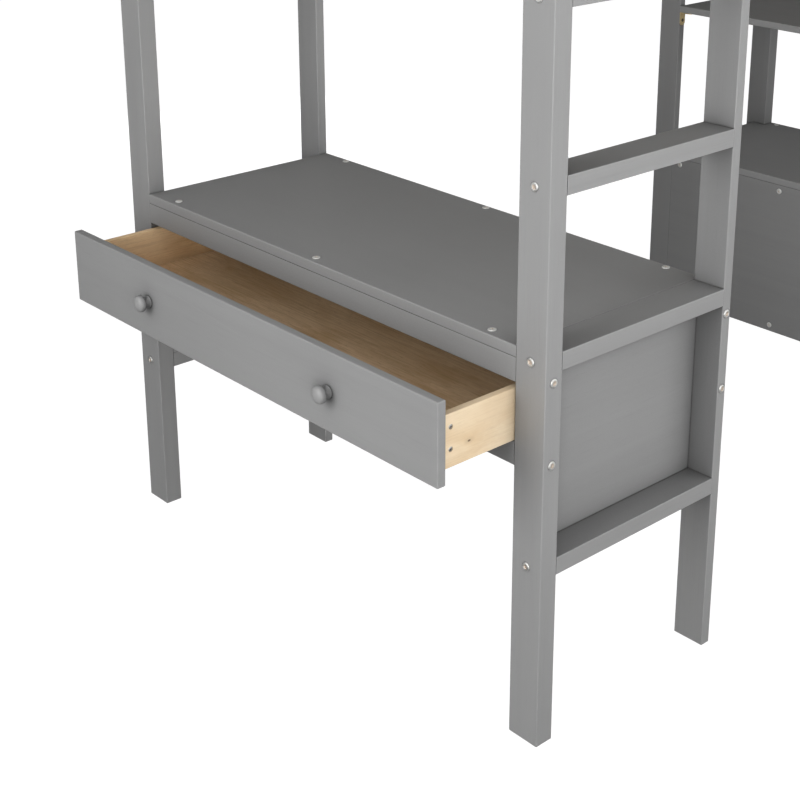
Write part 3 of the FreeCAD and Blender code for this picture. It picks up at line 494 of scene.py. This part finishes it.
# ---------------------------------------------------------------------------
# Knobs: turned, with a foot flange, a waist and a domed head


# From the foot to the top: (share of the head's radius, share of the knob's reach).
KNOB_OUTLINE = [
    (0.0, 0.0),
    (0.70, 0.0),
    (0.72, 0.02),
    (0.72, 0.07),
    (0.69, 0.105),
    (0.62, 0.12),
    (0.54, 0.14),
    (0.46, 0.19),
    (0.42, 0.27),
    (0.41, 0.33),
    (0.44, 0.385),
    (0.60, 0.42),
    (0.82, 0.455),
    (0.95, 0.50),
    (1.0, 0.57),
    (1.0, 0.66),
    (0.975, 0.74),
    (0.91, 0.82),
    (0.79, 0.885),
    (0.62, 0.94),
    (0.40, 0.975),
    (0.18, 0.996),
    (0.0, 1.0),
]
KNOB_TURNS = 64


def turned_knob(node, name):
    low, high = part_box(node)
    reach = high.y - low.y
    head = (high.x - low.x) / 2
    centre = Vector(((low.x + high.x) / 2, high.y, (low.z + high.z) / 2))
    mesh = bmesh.new()
    loops = []
    for share, rise in KNOB_OUTLINE:
        y = centre.y - rise * reach
        if share == 0.0:
            loops.append([mesh.verts.new((centre.x, y, centre.z))])
            continue
        ring = []
        for k in range(KNOB_TURNS):
            angle = 2 * math.pi * k / KNOB_TURNS
            x = centre.x + share * head * math.cos(angle)
            z = centre.z + share * head * math.sin(angle)
            ring.append(mesh.verts.new((x, y, z)))
        loops.append(ring)
    for first, second in zip(loops, loops[1:]):
        for k in range(KNOB_TURNS):
            nxt = (k + 1) % KNOB_TURNS
            if len(first) == 1:
                corners = (first[0], second[k], second[nxt])
            elif len(second) == 1:
                corners = (first[k], second[0], first[nxt])
            else:
                corners = (first[k], second[k], second[nxt], first[nxt])
            mesh.faces.new(corners).smooth = True
    bmesh.ops.recalc_face_normals(mesh, faces=mesh.faces)
    data = bpy.data.meshes.new(name)
    mesh.to_mesh(data)
    mesh.free()
    data.materials.append(paint["y"])
    piece = bpy.data.objects.new(name, data)
    bpy.context.scene.collection.objects.link(piece)
    smooth = piece.modifiers.new("round", "SUBSURF")
    smooth.levels = 1
    smooth.render_levels = 2
    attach(piece, "drawer")
    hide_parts(node)


turned_knob("drawer_knob_left", "knob_left")
turned_knob("drawer_knob_right", "knob_right")


# ---------------------------------------------------------------------------
# Floor, light and camera


def stage(name, mesh, material):
    """A piece of the studio. Only the camera sees it, so it throws no light on the bed."""
    data = bpy.data.meshes.new(name)
    mesh.to_mesh(data)
    mesh.free()
    data.materials.append(material)
    item = bpy.data.objects.new(name, data)
    bpy.context.scene.collection.objects.link(item)
    item.visible_diffuse = False
    item.visible_glossy = False
    item.visible_transmission = False
    item.visible_shadow = False


def glow(look):
    look.shader.inputs["Emission Color"].default_value = (1, 1, 1, 1)
    look.shader.inputs["Emission Strength"].default_value = 1.0


floor_look = Graph("studio_floor")
mottle = floor_look.noise(floor_look.place((1.0, 1.0, 1.0)), 0.8, 2.0)
floor_colour = floor_look.mix(floor_look.fit(mottle, 0.3, 0.7), grey(0.10), grey(0.11))
floor_look.link(floor_colour, floor_look.shader.inputs["Base Color"])
floor_look.shader.inputs["Roughness"].default_value = 0.9
glow(floor_look)
floor_mesh = bmesh.new()
bmesh.ops.create_grid(floor_mesh, x_segments=1, y_segments=1, size=30.0)
stage("floor", floor_mesh, floor_look.material)

wall_look = Graph("studio_wall")
wall_look.shader.inputs["Base Color"].default_value = (0, 0, 0, 1)
glow(wall_look)
backdrop_mesh = bmesh.new()
bmesh.ops.create_icosphere(backdrop_mesh, subdivisions=4, radius=28.0)
stage("backdrop", backdrop_mesh, wall_look.material)

world = bpy.data.worlds.new("studio")
world.use_nodes = True
world.node_tree.nodes["Background"].inputs["Color"].default_value = (1, 1, 1, 1)
world.node_tree.nodes["Background"].inputs["Strength"].default_value = 0.10
bpy.context.scene.world = world


def area(name, location, target, size, power, glossy=True):
    """A square area light that looks at a target; its power is in watts."""
    light = bpy.data.lights.new(name, "AREA")
    light.shape = "SQUARE"
    light.size = size
    light.energy = power
    item = bpy.data.objects.new(name, light)
    item.location = location
    item.rotation_euler = (Vector(target) - Vector(location)).to_track_quat("-Z", "Y").to_euler()
    item.visible_glossy = glossy
    bpy.context.scene.collection.objects.link(item)


area("front", (0.2, -3.3, 1.4), (0.0, -0.5, 0.6), 1.8, 38.5)
area("corner_high", (2.6, -2.6, 1.9), (0.5, -0.8, 0.7), 1.8, 8.0)
area("corner_low", (2.6, -2.6, 0.7), (0.5, -0.8, 0.6), 1.5, 33.0)
area("right", (2.0, -0.5, 1.1), (0.5, -0.5, 0.55), 1.5, 14.4)
area("right_rear", (3.2, 2.4, 1.5), (0.0, 1.0, 0.6), 2.0, 36.5)
area("top", (0.6, -2.0, 3.6), (0.2, -0.8, 0.6), 2.0, 12.0)
area("top_front", (0.0, -3.4, 2.8), (0.1, -0.6, 0.6), 2.0, 13.0)
area("fill_left", (-3.2, 1.1, 0.45), (0.0, 0.2, 0.6), 0.8, 28.0, glossy=False)
area("fill_rear", (-1.2, 4.2, 0.55), (0.0, 0.6, 0.6), 1.0, 34.0, glossy=False)

camera_data = bpy.data.cameras.new("camera")
camera_data.sensor_width = 36.0
camera_data.lens = 69.19
camera_data.shift_x = -0.0627
camera_data.shift_y = -0.2366
camera_data.clip_end = 100.0
camera = bpy.data.objects.new("camera", camera_data)
camera.location = (1.9510, -2.3900, 1.5476)
camera.rotation_euler = [math.radians(angle) for angle in (71.907, -0.265, 47.313)]
bpy.context.scene.collection.objects.link(camera)
bpy.context.scene.camera = camera
bpy.context.scene.view_settings.view_transform = "Standard"

bpy.context.view_layer.update()
